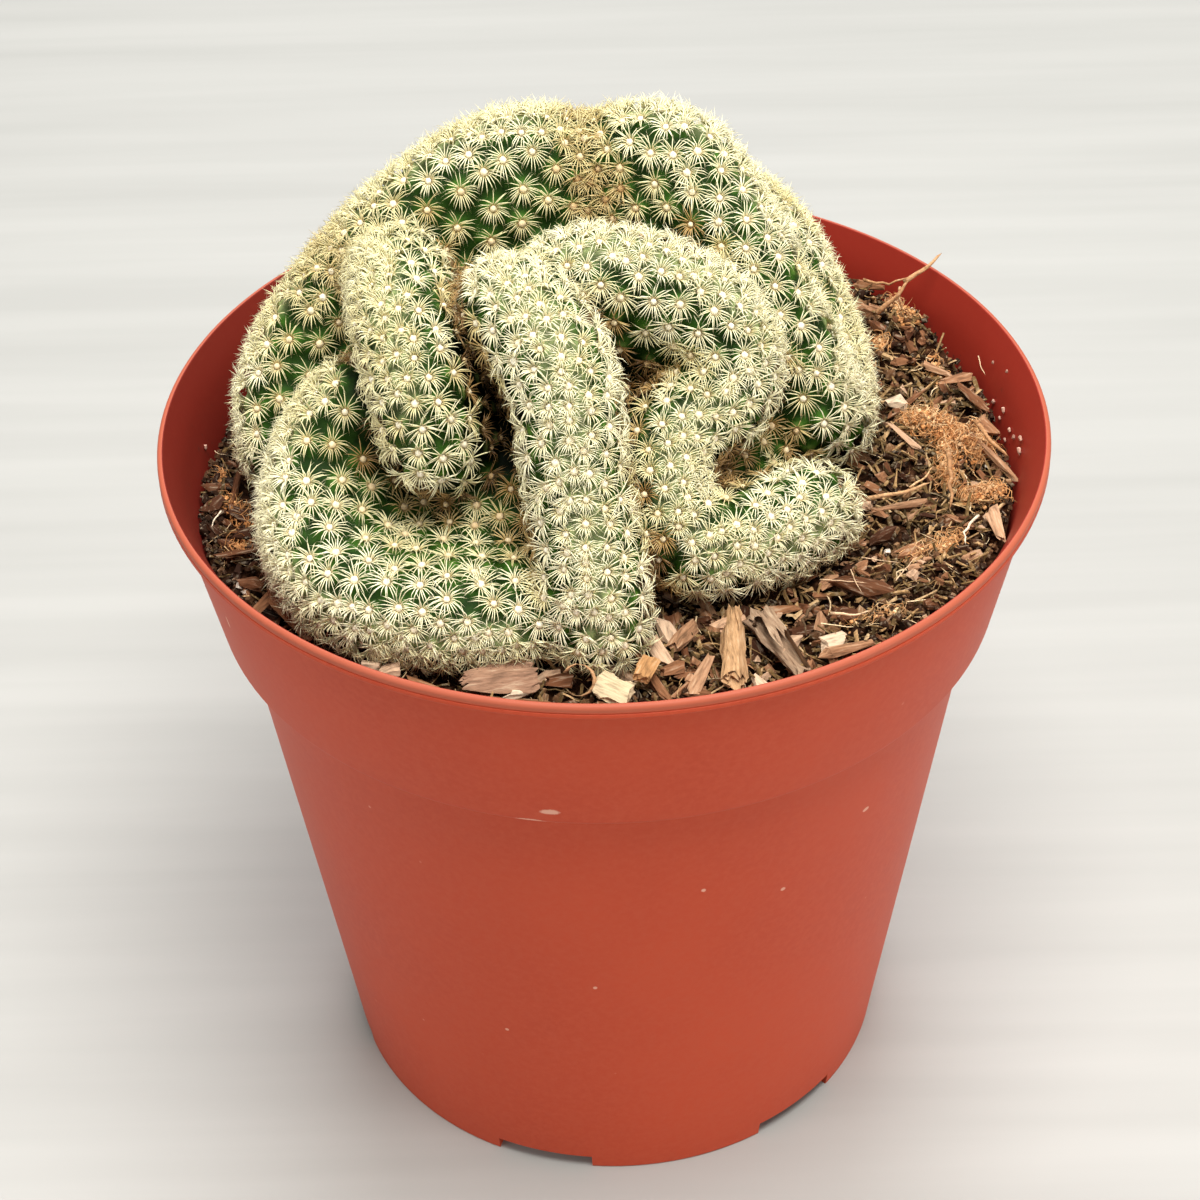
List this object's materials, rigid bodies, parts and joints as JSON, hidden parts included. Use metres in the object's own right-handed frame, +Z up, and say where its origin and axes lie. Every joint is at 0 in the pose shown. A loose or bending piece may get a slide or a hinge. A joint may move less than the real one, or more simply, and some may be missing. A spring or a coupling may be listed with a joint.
{
  "type": "potted brain cactus",
  "caption": "Crested brain cactus with winding spiny ribs, growing in bark mix in a tapered round plastic nursery pot; free-standing table plant.",
  "frame": {"origin": "centre of the pot's foot, on the surface it stands on", "axes": "+Z up along the pot's axis; -Y is the side the picture was taken from; +X to the right of it"},
  "size_m": [0.105, 0.105, 0.1277],
  "materials": {
    "terracotta_plastic": "satin",
    "potting_mix": "matte",
    "cactus_skin": "matte",
    "split_wood": "matte",
    "weathered_bark": "matte",
    "flat_bark": "matte",
    "pale_wood": "matte",
    "orange_bark": "matte",
    "coir_fibre": "matte"
  },
  "bodies": {
    "root": {"pot": "terracotta_plastic", "soil": "potting_mix", "cactus": "cactus_skin", "wood_splinter": "split_wood", "bark_shard": "weathered_bark", "bark_slab": "flat_bark", "cream_chip": "pale_wood", "orange_chip": "orange_bark", "coir_tuft": "coir_fibre"}
  },
  "joints": []
}
